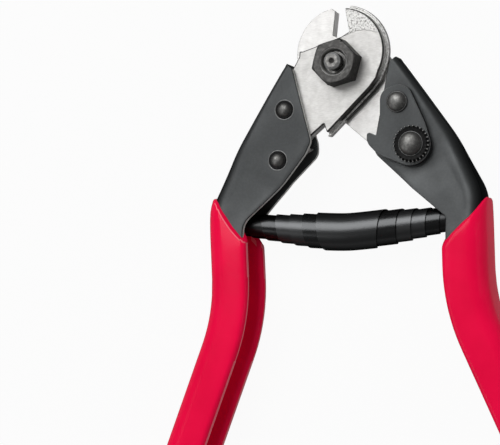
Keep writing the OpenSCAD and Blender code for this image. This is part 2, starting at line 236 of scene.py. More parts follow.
def shadedWall(s):
    mat = newMaterial("shadedWall", s["colour"], 0.42, 0.6)
    grain = noise(mat, objectPoint(mat), s["grain"])
    coarse = noise(mat, objectPoint(mat), s["coarse"], 4, 0.7)
    y, z = splitPoint(mat)[1:]
    along = larger(mat, ramp(mat, y, *s["jaw"]), ramp(mat, y, *s["tooth"]))
    # painted light: pale grey below the top edge at the jaw and the tooth; elsewhere black as painted shade
    pale = times(mat, ramp(mat, z, *s["top"]), along)
    grey = mixColour(mat, ramp(mat, coarse, 0.35, 0.65), *s["greys"])
    black = mixColour(mat, ramp(mat, grain, 0.4, 0.6), *s["shadeBlacks"])
    dress(mat, Base_Color=mixColour(mat, pale, black, grey),
          Metallic=ramp(mat, pale, 0.0, 1.0, *s["metallic"]),
          Specular_IOR_Level=ramp(mat, pale, 0.0, 1.0, *s["shine"]),
          Roughness=ramp(mat, grain, 0.3, 0.7, *s["roughness"]))
    bump(mat, grain, *s["bump"])
    return mat


# painted shade: the pressings' outward-facing spine is mixed towards black by their spine attribute, more of
# it towards the grip
paint = {
    "colour": (0.062, 0.0645, 0.066), "greys": ((0.058, 0.0605, 0.0615), (0.063, 0.066, 0.067)),
    "spineShadeBlack": (0.010, 0.0105, 0.011), "roughness": (0.44, 0.56), "metallic": 0.75, "ior": 1.1,
    "tint": (0.05, 0.05, 0.05, 1), "grain": 1400, "clouds": 90, "bump": (0.06, 0.00004),
}


def blackPaint(p):
    mat = newMaterial("blackPaint", p["colour"], 0.50, p["metallic"], IOR=p["ior"], Specular_Tint=p["tint"])
    grain = noise(mat, objectPoint(mat), p["grain"], 4, 0.6)
    cloud = noise(mat, objectPoint(mat), p["clouds"], 2)
    colour = mixColour(mat, ramp(mat, grain, 0.4, 0.62), *p["greys"])
    spine = addNode(mat, "ShaderNodeAttribute", attribute_name="spine").outputs["Fac"]
    # painted shade: the spine attribute mixes the paint towards black
    colour = mixColour(mat, spine, colour, p["spineShadeBlack"])
    dress(mat, Base_Color=colour, Roughness=ramp(mat, cloud, 0.3, 0.7, *p["roughness"]))
    bump(mat, grain, *p["bump"])
    return mat


vinyl = {
    "colour": (0.78, 0.003, 0.050), "reds": ((0.76, 0.0025, 0.047), (0.84, 0.0035, 0.056)),
    "roughness": 0.2, "ior": 1.14, "clouds": 60, "waves": 260, "bump": (0.10, 0.0004),
}


def redVinyl(v):
    mat = newMaterial("redVinyl", v["colour"], v["roughness"], IOR=v["ior"], Specular_IOR_Level=1.0)
    cloud = noise(mat, objectPoint(mat), v["clouds"], 2)
    dress(mat, Base_Color=mixColour(mat, ramp(mat, cloud, 0.3, 0.7), *v["reds"]))
    bump(mat, noise(mat, objectPoint(mat), v["waves"], 2), *v["bump"])
    return mat


# painted highlight: a pale grey ring round the pivot stands for the light on a chamfer, its reach in mm
oxide = {
    "tint": (0.15, 0.15, 0.15, 1), "grain": 1100, "paler": 1.5, "duller": 0.08, "shinier": 0.06,
    "bump": (0.08, 0.00003), "highlightSoft": 0.12, "highlightGrey": (0.46, 0.455, 0.44),
}


def blackOxide(name, colour, roughness, metallic, highlightBand=None):
    o = oxide
    mat = newMaterial(name, colour, roughness, metallic, Specular_Tint=o["tint"])
    grain = noise(mat, objectPoint(mat), o["grain"], 4, 0.6)
    mixed = mixColour(mat, ramp(mat, grain, 0.42, 0.66), colour, tuple(c * o["paler"] for c in colour))
    # painted highlight: a pale grey ring between the band's two reaches
    if highlightBand:
        inner, outer = highlightBand
        flatPoint = objectPoint(mat, (1, 1, 0))
        reach = addNode(mat, "ShaderNodeVectorMath", operation="LENGTH", Vector=flatPoint).outputs["Value"]
        inside = ramp(mat, reach, outer * mm, (outer - o["highlightSoft"]) * mm)
        outside = ramp(mat, reach, (inner - o["highlightSoft"]) * mm, inner * mm)
        mixed = mixColour(mat, times(mat, inside, outside), mixed, o["highlightGrey"])
    sheen = ramp(mat, grain, 0.3, 0.7, roughness + o["duller"], roughness - o["shinier"])
    dress(mat, Base_Color=mixed, Roughness=sheen)
    bump(mat, grain, *o["bump"])
    return mat


# each turn of the strip gets its own roughness and a random brightness that is painted sheen for the light
# bands of its turns; the inmost turns are painted dark as shade under the pads
woundSteel = {
    "colour": (0.034, 0.035, 0.036), "greys": ((0.040, 0.041, 0.042), (0.082, 0.084, 0.086)),
    "inmostShadeBlack": (0.006, 0.006, 0.006), "inmostShade": (3.4, 6.0), "inmostShadeShare": 0.8,
    "roughness": (0.24, 0.36), "metallic": 0.95, "tint": (0.1, 0.1, 0.1, 1), "marks": (120, 900, 900),
}


def springSteel(s):
    mat = newMaterial("springSteel", s["colour"], 0.2, s["metallic"], Specular_Tint=s["tint"])
    marks = noise(mat, objectPoint(mat, s["marks"]), 1.0, 2)
    turn = addNode(mat, "ShaderNodeAttribute", attribute_name="turn").outputs["Fac"]
    tone = addNode(mat, "ShaderNodeTexWhiteNoise", noise_dimensions="1D", W=turn).outputs["Value"]
    mixed = plus(mat, times(mat, tone, 0.8), times(mat, marks, 0.2))
    # painted shade: the inmost turns are mixed towards black
    inmostShade = ramp(mat, turn, *s["inmostShade"], 0.0, s["inmostShadeShare"])
    colour = mixColour(mat, inmostShade, mixColour(mat, mixed, *s["greys"]), s["inmostShadeBlack"])
    dress(mat, Base_Color=colour, Roughness=ramp(mat, tone, 0.0, 1.0, *s["roughness"]))
    return mat


finish = {
    "groundFront": groundSteel("groundFront", (0.45, 0.442, 0.43), (0.55, 0.544, 0.53), True),
    "groundBack": groundSteel("groundBack", (0.54, 0.533, 0.522), (0.63, 0.624, 0.613), False),
    "forged": forgedSteel(forgedSkin),
    "edge": shadedWall(paintedWallLight),
    "bevelled": newMaterial("cuttingEdge", (0.90, 0.895, 0.88), 0.3, 0.1),
    "paint": blackPaint(paint),
    "sheared": blackOxide("shearedEdge", (0.56, 0.56, 0.54), 0.4, 0.3),
    "paintedHighlight": blackOxide("paintHighlight", (0.15, 0.152, 0.153), 0.45, 0.6),
    "hoop": blackOxide("ringHighlight", (0.21, 0.212, 0.21), 0.42, 0.4),
    "vinyl": redVinyl(vinyl),
    # painted highlight for the grips' rim and inner edge
    "lip": newMaterial("lipHighlight", (0.84, 0.13, 0.18), 0.35),
    # the nut's band and its edge finish are a painted highlight ring round its bore
    "nut": blackOxide("nutSteel", (0.050, 0.049, 0.0475), 0.40, 0.6, (4.0, 4.35)),
    "bolt": blackOxide("boltSteel", (0.10, 0.098, 0.095), 0.36, 0.8),
    "rivet": blackOxide("rivetSteel", (0.12, 0.119, 0.115), 0.47, 0.95),
    "disc": blackOxide("discSteel", (0.006, 0.006, 0.006), 0.46, 0.2),
    "paintedGlint": blackOxide("glintEdge", (0.28, 0.278, 0.27), 0.42, 0.35),
    "spring": springSteel(woundSteel),
}
print("materials made")


def addObject(name, mesh):
    piece = bpy.data.objects.new(name, mesh)
    bpy.context.collection.objects.link(piece)
    return piece


def shade(mesh, sharpAngle):
    mesh.shade_smooth()
    mesh.set_sharp_from_angle(angle=math.radians(sharpAngle))


def meshOf(bm, name, mats, sharpAngle):
    mesh = bpy.data.meshes.new(name)
    bm.to_mesh(mesh)
    bm.free()
    for mat in mats:
        mesh.materials.append(mat)
    shade(mesh, sharpAngle)
    return mesh


def frozen(piece):
    # what the modifiers make becomes the piece's plain mesh
    graph = bpy.context.evaluated_depsgraph_get()
    mesh = bpy.data.meshes.new_from_object(piece.evaluated_get(graph), depsgraph=graph)
    piece.modifiers.clear()
    old = piece.data
    piece.data = mesh
    bpy.data.meshes.remove(old)
    return piece


def standsFor(piece, body, node):
    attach(piece, body)
    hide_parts(node)


# a CAD node's mesh with rounded edges; the gap is in metres, the angles in degrees
softCopy = {"mergeGap": 2e-6, "flatAngle": 0.4, "bevelAngle": 32, "sharpAngle": 80, "segments": 2}


def softenedCopy(name, node, mats, bevel):
    s = softCopy
    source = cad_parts[node]
    bm = bmesh.new()
    bm.from_mesh(source.data)
    bm.transform(source.matrix_world)
    bmesh.ops.remove_doubles(bm, verts=bm.verts, dist=s["mergeGap"])
    bmesh.ops.dissolve_limit(bm, angle_limit=math.radians(s["flatAngle"]), verts=bm.verts, edges=bm.edges)
    for face in bm.faces:
        face.material_index = 0
    piece = addObject(name, meshOf(bm, name, mats, s["sharpAngle"]))
    made = piece.modifiers.new("softEdges", "BEVEL")
    made.width = bevel * mm
    made.segments = s["segments"]
    made.limit_method = "ANGLE"
    made.angle_limit = math.radians(s["bevelAngle"])
    made.miter_outer = "MITER_ARC"
    made.use_clamp_overlap = False
    even = piece.modifiers.new("evenFaces", "WEIGHTED_NORMAL")
    even.weight = 100
    even.keep_sharp = True
    return frozen(piece)


# plan of the right arm with the tool closed, from the pivot; the left arm is the same one turned over
arm = {
    "width": 10.8, "reach": 170.5, "bendRadius": 57.0, "upperLean": 17.9, "lowerLean": 5.4,
    "knee": (13.4, -84.3), "shoulderLength": 34.8, "crookLength": 28.4,
    "topOuter": (16.8, -3.7), "topInner": (14.2, -5.0), "flare": (26.2, -34.0),
    "nose": (2.3, -25.6), "belly": (3.2, -30.0), "crook": (8.0, -41.2),
    "outerRadii": [1.5, 60.0, 15.0], "innerRadii": [6.0, 30.0, 4.0, 3.0, 1.0],
    "bendSteps": 12, "capSteps": 12, "vinyl": 1.2, "halfOpen": 17.25, "shearHeight": 9.7,
}


def flat(p):
    return Vector((p[0], p[1]))


def heading(angle):
    return Vector((math.cos(angle), math.sin(angle)))


def leftOf(v):
    return Vector((-v.y, v.x))


def spread(start, end, shares):
    return [start + (end - start) * s for s in shares]


def smoothStep(low, high, x):
    t = max(0.0, min(1.0, (x - low) / (high - low)))
    return t * t * (3 - 2 * t)


def arc(cx, cy, r, start, end, steps):
    turns = spread(start, end, [k / steps for k in range(steps + 1)])
    return [(cx + r * math.cos(math.radians(t)), cy + r * math.sin(math.radians(t))) for t in turns]


def movedSideways(path, d):
    out = []
    for i, p in enumerate(path):
        j, k = max(i, 1), min(i, len(path) - 2)
        a = leftOf((path[j] - path[j - 1]).normalized())
        b = leftOf((path[k + 1] - path[k]).normalized())
        out.append(p + (a + b) * (d / (1 + a.dot(b))))
    return out


def rounded(path, radii, steps=8):
    out = []
    for i, corner in enumerate(path):
        r = radii[i]
        if not r:
            out.append(corner)
            continue
        u = (path[i - 1] - corner).normalized()
        v = (path[(i + 1) % len(path)] - corner).normalized()
        half = math.acos(max(-1, min(1, u.dot(v)))) / 2
        centre = corner + (u + v).normalized() * (r / math.sin(half))
        start = corner + u * (r / math.tan(half)) - centre
        end = corner + v * (r / math.tan(half)) - centre
        out += [centre + start.lerp(end, k / steps).normalized() * r for k in range(steps + 1)]
    return out


def gripSide(a, off, high):
    # one side of the grip from its upper end round the bend to its lower end
    up, low = math.radians(a["upperLean"]), math.radians(a["lowerLean"])
    upper, lower = heading(math.pi / 2 - up), heading(low - math.pi / 2)
    upperOut, lowerOut = heading(-up), heading(low)
    knee = flat(a["knee"])
    end = knee + lower * ((a["reach"] + knee.y - a["width"] / 2) / math.cos(low))
    bend = up + low
    centre = knee + (upper + lower).normalized() * (a["bendRadius"] / math.cos(bend / 2))
    path = [knee + upper * high + upperOut * off]
    path += [centre + heading(math.pi - up + bend * k / a["bendSteps"]) * (a["bendRadius"] - off)
             for k in range(a["bendSteps"] + 1)]
    path.append(end + lowerOut * off)
    return path, end, lowerOut


def armOutline(a, grow):
    half = a["width"] / 2
    outer, end, lowerOut = gripSide(a, half, a["shoulderLength"])
    inner = gripSide(a, -half, a["crookLength"])[0]
    outer = movedSideways([flat(a[key]) for key in ("topOuter", "flare")] + outer, grow)
    inner = movedSideways([flat(a[key]) for key in ("topInner", "nose", "belly", "crook")] + inner, -grow)
    step = math.pi / a["capSteps"]
    cap = [end + Matrix.Rotation(-step * k, 2) @ lowerOut * (half + grow) for k in range(1, a["capSteps"])]
    path = outer + cap + inner[::-1]
    plain = [0] * (len(path) - len(a["outerRadii"]) - len(a["innerRadii"]))
    return rounded(path, a["outerRadii"] + plain + a["innerRadii"])


def crossing(outline, y):
    # the outline's least and greatest x at this level
    xs = []
    for p, q in zip(outline, outline[-1:] + outline[:-1]):
        if (p.y - y) * (q.y - y) < 0:
            xs.append(p.x + (q.x - p.x) * (y - p.y) / (q.y - p.y))
    return (min(xs), max(xs)) if xs else None


def placeArm(side):
    place = Matrix.Translation((0, 0, arm["shearHeight"]))
    turn = math.radians(arm["halfOpen"])
    if side == "right":
        return place @ Matrix.Rotation(turn, 4, "Z")
    return place @ Matrix.Rotation(-turn, 4, "Z") @ Matrix.Rotation(math.pi, 4, "Y")


seamGap = 0.002   # points of a loft that are closer than this are one


def loftMesh(stations):
    # each station holds two rows of the same length: the outer skin and the inner skin
    bm = bmesh.new()
    rings = [[[bm.verts.new(p) for p in row] for row in station] for station in stations]
    last = len(rings[0][0]) - 1
    for (o1, i1), (o2, i2) in zip(rings, rings[1:]):
        for k in range(last):
            bm.faces.new((o1[k], o1[k + 1], o2[k + 1], o2[k]))
            bm.faces.new((i1[k + 1], i1[k], i2[k], i2[k + 1]))
        bm.faces.new((i1[0], o1[0], o2[0], i2[0]))
        bm.faces.new((o1[last], i1[last], i2[last], o2[last]))
    for outer, inner in (rings[0], rings[-1]):
        for k in range(last):
            bm.faces.new((outer[k], outer[k + 1], inner[k + 1], inner[k]))
    bmesh.ops.remove_doubles(bm, verts=bm.verts, dist=seamGap)
    bmesh.ops.dissolve_degenerate(bm, edges=bm.edges, dist=seamGap)
    bmesh.ops.recalc_face_normals(bm, faces=bm.faces)
    return bm


steelPlan = armOutline(arm, 0.0)
vinylPlan = armOutline(arm, arm["vinyl"])
print("arm plan ready")

# levels: the first one below the pivot, the step and how many
pressing = {
    "sheet": 2.0, "nearFace": -0.05, "farFace": -4.45, "channelHalf": 8.5,
    "joggle": (-64.0, -38.5), "edgeRound": 0.35, "bendTop": 1.7, "bendShoulder": 4.2, "bendGrows": (8, 50),
    "innerBend": 0.3, "leastPad": 1.1, "cornerLevel": -5.02, "edgeSteps": 3, "bendSteps": 7,
    "beadHeight": 0.26, "beadLevels": (-50, -33), "beadInset": (2.2, 5.6), "across": 12,
    "levels": [(2.2, 1.2, 3), (5.05, 1, 1), (6, 2, 8), (21.5, 1.5, 2), (24, 1, 1), (24.6, 0.5, 16),
               (33, 1, 11), (44, 0.75, 20), (60, 2.5, 3), (68, 3, 2), (74, 3, 27), (157, 3, 3)],
    "left": {"lip": [(12, -16), (2.5, -24.8), (1.1, -29), (9.4, -43.2), (12, -42)], "radii": [0, 4, 4, 1, 1]},
    "right": {"lip": [(12, -16), (2.2, -25.4), (0.5, -29.6), (8.3, -44.3), (15.2, -55.1), (17.6, -58.8),
                      (20, -52)],
              "radii": [0, 4, 4, 1, 1, 0.5, 0]},
    "shearedFacing": -0.75, "shearedFlat": 0.2, "sharpAngle": 30,
    "spineShadeFacing": (0.25, 0.95), "spineShadeLevels": (22, 46), "spineShadeTop": 0.25, "spineShadeLow": 0.9,
}


def sheetHeights(p, y, inset=99.0):
    # the pads step out to the channel, and a bead along the spine starts before the step
    t = 1 - smoothStep(*p["joggle"], y)
    bead = p["beadHeight"] * (1 - smoothStep(*p["beadLevels"], y)) * (1 - smoothStep(*p["beadInset"], inset))
    t = t + (1 - t) * bead
    near = (p["nearFace"] + p["sheet"]) * (1 - t) + p["channelHalf"] * t
    far = (p["farFace"] - p["sheet"]) * (1 - t) - p["channelHalf"] * t
    return near, far


def padEnds(p, y, bend, lip):
    # where the spine is at this level, and how far in the far pad and the near pad reach
    ends = crossing(steelPlan, y)
    if ends is None or y > p["cornerLevel"]:
        top, flare = flat(arm["topOuter"]), flat(arm["flare"])
        xOut = top.x + (top.x - flare.x) / (top.y - flare.y) * (y - top.y)
        xFar = xOut - bend - p["leastPad"]
    else:
        xOut = ends[1]
        xFar = min(ends[0], xOut - bend - p["leastPad"])
    lipEnds = crossing(lip, y)
    return xOut, xFar, min(xFar, lipEnds[0]) if lipEnds else xFar


def pressingStation(p, y, lip):
    bend = p["bendTop"] + (p["bendShoulder"] - p["bendTop"]) * smoothStep(*p["bendGrows"], -y)
    xOut, xFar, xNear = padEnds(p, y, bend, lip)
    t, e, atEdge, atBend = p["sheet"], p["edgeRound"], p["edgeSteps"], p["bendSteps"]
    innerBend = max(bend - t, p["innerBend"])
    near, far = sheetHeights(p, y, bend)
    shares = [k / p["across"] for k in range(1, p["across"])]

    def pad(start, side, depth):
        # one pad's points from its inner edge to the bend, that deep in the sheet
        inward = -depth if side == 0 else depth
        along = spread(start + e, xOut - bend, shares)
        return [(x, sheetHeights(p, y, xOut - x)[side] + inward) for x in along]

    nearEdge, farEdge = sheetHeights(p, y, xOut - xNear)[0], sheetHeights(p, y, xOut - xFar)[1]
    outer = arc(xNear + e, nearEdge - e, e, 180, 90, atEdge) + pad(xNear, 0, 0)
    outer += arc(xOut - bend, near - bend, bend, 90, 0, atBend)
    outer += arc(xOut - bend, far + bend, bend, 0, -90, atBend)
    outer += pad(xFar, 1, 0)[::-1] + arc(xFar + e, farEdge + e, e, -90, -180, atEdge)
    inner = arc(xNear + e, nearEdge - t + e, e, 180, 270, atEdge) + pad(xNear, 0, t)
    inner += arc(xOut - t - innerBend, near - t - innerBend, innerBend, 90, 0, atBend)
    inner += arc(xOut - t - innerBend, far + t + innerBend, innerBend, 0, -90, atBend)
    inner += pad(xFar, 1, t)[::-1] + arc(xFar + e, farEdge + t - e, e, 90, 180, atEdge)
    return [(x, y, z) for x, z in outer], [(x, y, z) for x, z in inner]


def trimTop(bm):
    # the handle's upper end is cut off square to its outer edge
    top, low = flat(arm["topOuter"]), flat(arm["topInner"])
    across = leftOf((top - low).normalized())
    cut = bmesh.ops.bisect_plane(bm, geom=bm.verts[:] + bm.edges[:] + bm.faces[:], plane_co=(*top, 0),
                                 plane_no=(*across, 0), clear_outer=True)
    edges = [part for part in cut["geom_cut"] if isinstance(part, bmesh.types.BMEdge)]
    bmesh.ops.holes_fill(bm, edges=edges, sides=0)
    bmesh.ops.recalc_face_normals(bm, faces=bm.faces)


def makePressing(side, p):
    lip = rounded([flat(corner) for corner in p[side]["lip"]], p[side]["radii"])
    levels = [-(first + step * k) for first, step, count in p["levels"] for k in range(count)]
    bm = loftMesh([pressingStation(p, y, lip) for y in levels])
    trimTop(bm)
    for face in bm.faces:
        isSheared = face.normal.x < p["shearedFacing"] and abs(face.normal.z) < p["shearedFlat"]
        face.material_index = 1 if isSheared else 0
    bm.normal_update()
    # painted shade: outward-facing vertices get a share of black, more of it towards the grip
    spine = []
    for v in bm.verts:
        depth = p["spineShadeTop"] + (p["spineShadeLow"] - p["spineShadeTop"]) * smoothStep(*p["spineShadeLevels"], -v.co.y)
        spine.append(smoothStep(*p["spineShadeFacing"], v.normal.x) * depth)
    bm.transform(Matrix.Scale(mm, 4) @ placeArm(side))
    mesh = meshOf(bm, side + "Pressing", [finish["paint"], finish["sheared"]], p["sharpAngle"])
    mesh.attributes.new("spine", "FLOAT", "POINT").data.foreach_set("value", spine)
    standsFor(addObject(side + "Pressing", mesh), side + "_arm", side + "_handle")


for side in ("left", "right"):
    makePressing(side, pressing)
print("pressings made")

# rimRoll: how far below the rim and how thin the skin is there
grip = {
    "skin": arm["vinyl"], "lining": 0.8, "corner": 6.0, "cornerShare": 0.42, "innerCorner": 1.2,
    "lip": 1.7, "lipShare": 0.45, "flatFrom": -80.0, "levelStep": 2.5, "sharpAngle": 60,
    "rimRoll": [(0, 0.95), (0.08, 0.55), (0.24, 0.22), (0.5, 0.05), (0.85, 0.0)],
    "fade": [0.06, 0.13, 0.21, 0.3, 0.4, 0.52, 0.66, 0.82], "settling": 6,
    "floor": 2.0, "floorStep": 1.2, "floorSeam": 0.01,
    "endSteps": 12, "endRound": 12.35, "endPull": 0.24, "endEase": 1.2,
    "lipHighlight": 0.045, "rimHighlightReach": (12, 28),
    "left": {"rimHighlight": 0.3,
             "rim": [(41, -49.9), (34, -50.1), (30.5, -50.5), (28.1, -51.3), (24.2, -54.6), (20.6, -57.6),
                     (16.4, -60.3), (13.1, -61.2), (8, -62)]},
    "right": {"rimHighlight": 0.0,
              "rim": [(41, -54.2), (37, -54.6), (33, -55.8), (28.8, -57.8), (24.9, -59.7), (21.5, -61),
                      (17.4, -63), (12.6, -65.9), (8, -68)]},
}


def curveAt(points, x):
    if x >= points[0][0]:
        return points[0][1]
    for (x1, y1), (x2, y2) in zip(points, points[1:]):
        if x >= x2:
            return y1 + (y2 - y1) * (x1 - x) / (x1 - x2)
    return points[-1][1]


def skinRow(xIn, xOut, near, far, lip, corner, side, middle):
    # side is 1 for the sleeve's outside and -1 for its inside, where the lip turns the other way
    quarters = [0.25, 0.5, 0.75]
    row = [(xIn, near - middle)] + arc(xIn + lip, near - side * lip, lip, 180, 180 - side * 90, 5)
    row += [(x, near) for x in spread(xIn + lip, xOut - corner, quarters)]
    row += arc(xOut - corner, near - corner, corner, 90, 0, 9)
    row += arc(xOut - corner, far + corner, corner, 0, -90, 9)
    row += [(x, far) for x in spread(xIn + lip, xOut - corner, quarters[::-1])]
    return row + arc(xIn + lip, far + side * lip, lip, -side * 90, -side * 180, 5) + [(xIn, far + middle)]


def gripRows(g, y, shrink):
    # the two skins at one level, shrink thins the sleeve towards its rim
    xIn, xOut = crossing(vinylPlan, y)
    near, far = sheetHeights(pressing, y)
    near, far = near + g["skin"] - shrink, far - g["skin"] + shrink
    xIn, xOut = xIn + shrink, xOut - shrink
    total = g["skin"] + pressing["sheet"] + g["lining"] - 2 * shrink
    corner = min(g["corner"], (xOut - xIn) * g["cornerShare"])
    lip = min(g["lip"], total * g["lipShare"])
    outer = skinRow(xIn, xOut, near, far, lip, corner, 1, total / 2)
    return outer, skinRow(xIn, xOut - total, near - total, far + total, lip, g["innerCorner"], -1, -total / 2)


def rimStation(g, rim, levelled, lower, shrink):
    # points follow the slanted rim, which runs on round the spine, and level out towards flatFrom
    station = []
    for row, start in enumerate(gripRows(g, g["flatFrom"], shrink)):
        points = []
        for k in range(len(start)):
            y = g["flatFrom"]
            for turn in range(g["settling"]):
                x, z = gripRows(g, y, shrink)[row][k]
                near, far = sheetHeights(pressing, y)
                girth = x + max(0.0, near + g["skin"] - (near + far) / 2 - abs(z - (near + far) / 2))
                y = (curveAt(rim, girth) - lower) * (1 - levelled) + g["flatFrom"] * levelled
            points.append((x, y, z))
        station.append(points)
    return station


def levelStation(g, y, closed, pull=1.0):
    outer, inner = gripRows(g, y, 0.0)
    if closed:
        inner = [(outer[0][0], z) for x, z in inner]
    return [[(x, y, z * pull) for x, z in row] for row in (outer, inner)]


def gripStations(g, rim):
    depth = g["rimRoll"][-1][0]
    stations = [rimStation(g, rim, 0, lower, shrink) for lower, shrink in g["rimRoll"]]
    stations += [rimStation(g, rim, s, depth * (1 - s), 0.0) for s in g["fade"]]
    bottom = min(p.y for p in vinylPlan)
    capTop = bottom + arm["width"] / 2 + g["skin"]
    floor = capTop + g["floor"] - g["floorStep"]
    y = g["flatFrom"]
    while y > capTop + 1:
        stations.append(levelStation(g, y, False))
        y -= g["levelStep"]
    stations += [levelStation(g, floor, False), levelStation(g, floor - g["floorSeam"], True)]
    for k in range(1, g["endSteps"] + 1):
        y = capTop - (capTop - bottom) * math.sin(math.radians(90 * k / g["endRound"]))
        pull = 1 - g["endPull"] * (1 - math.cos(math.radians(90 * k / g["endSteps"]))) ** g["endEase"]
        stations.append(levelStation(g, y, True, pull))
    return stations


def makeGrip(side, g):
    rim = g[side]["rim"]
    bm = loftMesh(gripStations(g, rim))
    # faces along the left grip's rim and along the inner edge take the pale lip colour: a painted highlight
    for face in bm.faces:
        c = face.calc_center_median()
        ends = crossing(vinylPlan, c.y)
        atRim = 0 < curveAt(rim, c.x) - c.y < g[side]["rimHighlight"]
        atRim = atRim and g["rimHighlightReach"][0] < c.x < g["rimHighlightReach"][1]
        atLip = ends and c.x - ends[0] < g["lipHighlight"]
        face.material_index = 1 if atRim or atLip else 0
    bm.transform(Matrix.Scale(mm, 4) @ placeArm(side))
    mesh = meshOf(bm, side + "Grip", [finish["vinyl"], finish["lip"]], g["sharpAngle"])
    standsFor(addObject(side + "Grip", mesh), side + "_arm", side + "_grip")


for side in ("left", "right"):
    makeGrip(side, grip)
print("grips made")

# ground faces are found by their height, the jaws' cutting walls by their place and area
blade = {
    "faces": (14.15, 9.7, 5.25), "faceGap": 0.15, "level": 0.985,
    "mouthHalf": 5, "mouthFrom": 7, "mouthFacing": 0.5, "mouthArea": 2.0, "tipFrom": 8.5, "tipFacing": -0.2,
    "frontBlade": {"node": "front_blade", "body": "left_arm", "ground": "groundFront", "bevel": 0.34},
    "backBlade": {"node": "back_blade", "body": "right_arm", "ground": "groundBack", "bevel": 0.14},
}


def bladeFinish(p, face, hasTip):
    # 0 ground face, 1 forged face, 2 wall with painted shade and light, 3 cutting wall
    c, n = face.center / mm, face.normal
    if abs(n.z) > p["level"]:
        return 0 if min(abs(c.z - height) for height in p["faces"]) < p["faceGap"] else 1
    isMouth = abs(c.x) < p["mouthHalf"] and c.y > p["mouthFrom"] and abs(n.x) > p["mouthFacing"]
    if isMouth and face.area > p["mouthArea"] * mm * mm:
        return 3
    if hasTip and 0 < c.x < p["mouthHalf"] and c.y > p["tipFrom"] and n.x < p["tipFacing"]:
        return 0
    return 2


def makeBlade(name, p):
    b = p[name]
    mats = [finish[key] for key in (b["ground"], "forged", "edge", "bevelled")]
    piece = softenedCopy(name, b["node"], mats, b["bevel"])
    for face in piece.data.polygons:
        face.material_index = bladeFinish(p, face, name == "frontBlade")
    standsFor(piece, b["body"], b["node"])


for name in ("frontBlade", "backBlade"):
    makeBlade(name, blade)
print("blades made")

# the reach from the middle between which slanted faces take the edge finish: a painted highlight ring on the
# bolt's and the nut's chamfers
hardware = {
    "slant": (0.25, 0.95),
    "pivotBolt": {"node": "pivot_bolt", "body": "left_arm", "steel": "bolt", "edge": "hoop",
                  "bevel": 0.10, "paintedHighlight": (1.9, 3.9), "girth": 1.0},
    "pivotNut": {"node": "pivot_nut", "body": "left_arm", "steel": "nut", "edge": "paintedGlint",
                 "bevel": 0.16, "paintedHighlight": (3.9, 4.8), "girth": 1.0},
    "pivotWasher": {"node": "pivot_washer", "body": "left_arm", "steel": "bolt", "edge": "paintedGlint",
                    "bevel": 0.10, "paintedHighlight": (0, 0), "girth": 1.0},
    "latchWasher": {"node": "latch_washer", "body": "right_arm", "steel": "disc", "edge": "paintedGlint",
                    "bevel": 0.06, "paintedHighlight": (0, 0), "girth": 0.9},
}


def makeHardware(name, h, slant):
    piece = softenedCopy(name, h["node"], [finish[h["steel"]], finish[h["edge"]]], h["bevel"])
    spots = [v.co for v in piece.data.vertices]
    middle = Vector([(min(c[k] for c in spots) + max(c[k] for c in spots)) / 2 for k in range(3)])
    # slanted faces within the reach take the edge finish, a painted highlight
    for face in piece.data.polygons:
        reach = (face.center - middle).xy.length / mm
        isHighlighted = slant[0] < face.normal.z < slant[1] and h["paintedHighlight"][0] < reach < h["paintedHighlight"][1]
        face.material_index = 1 if isHighlighted else 0
    girth = Matrix.Diagonal((h["girth"], h["girth"], 1, 1))
    piece.data.transform(Matrix.Translation(middle) @ girth @ Matrix.Translation(-middle))
    standsFor(piece, h["body"], h["node"])


for name in ("pivotBolt", "pivotNut", "pivotWasher", "latchWasher"):
    makeHardware(name, hardware[name], hardware["slant"])
for node in ("left_spring_stud", "right_spring_stud"):
    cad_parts[node].material_slots[0].material = finish["bolt"]

# corners run round the plate from its rivet; low and high are its faces above the blades' shared plane
latch = {
    "rivet": (13.3, -17.9), "thumb": (13.3, -31.9), "hole": 2.3, "holeSides": 40,
    "low": 2.05, "high": 4.35, "edge": 0.28, "highlightSlant": (0.2, 0.9), "plateSharp": 11,
    "corners": [(-4.1, 5.2), (-6.9, -2.6), (-8.6, -5.4), (-9.75, -7.35), (-12.2, -5.05), (-13.4, -8.4),
                (-11.1, -13.4), (-1.4, -21.8), (5.7, -17.6), (6, -9), (4.7, 5.2)],
    "radii": [4, 2, 3, 0.5, 0.75, 4, 9, 6.4, 6, 15, 4.4],
    "teeth": 28, "discRadius": 5.7, "toothDepth": 0.5, "discHeight": 1.4, "chamfer": 0.34, "bore": 2.4,
    "dish": (4.4, 0.1), "discSharp": 25, "edgeSteps": 2, "mergeGap": 1e-4,
}


def curveMesh(curve):
    # the mesh of a curve, which is then removed
    maker = addObject(curve.name, curve)
    graph = bpy.context.evaluated_depsgraph_get()
    mesh = bpy.data.meshes.new_from_object(maker.evaluated_get(graph), depsgraph=graph)
    bpy.data.objects.remove(maker)
    bpy.data.curves.remove(curve)
    return mesh


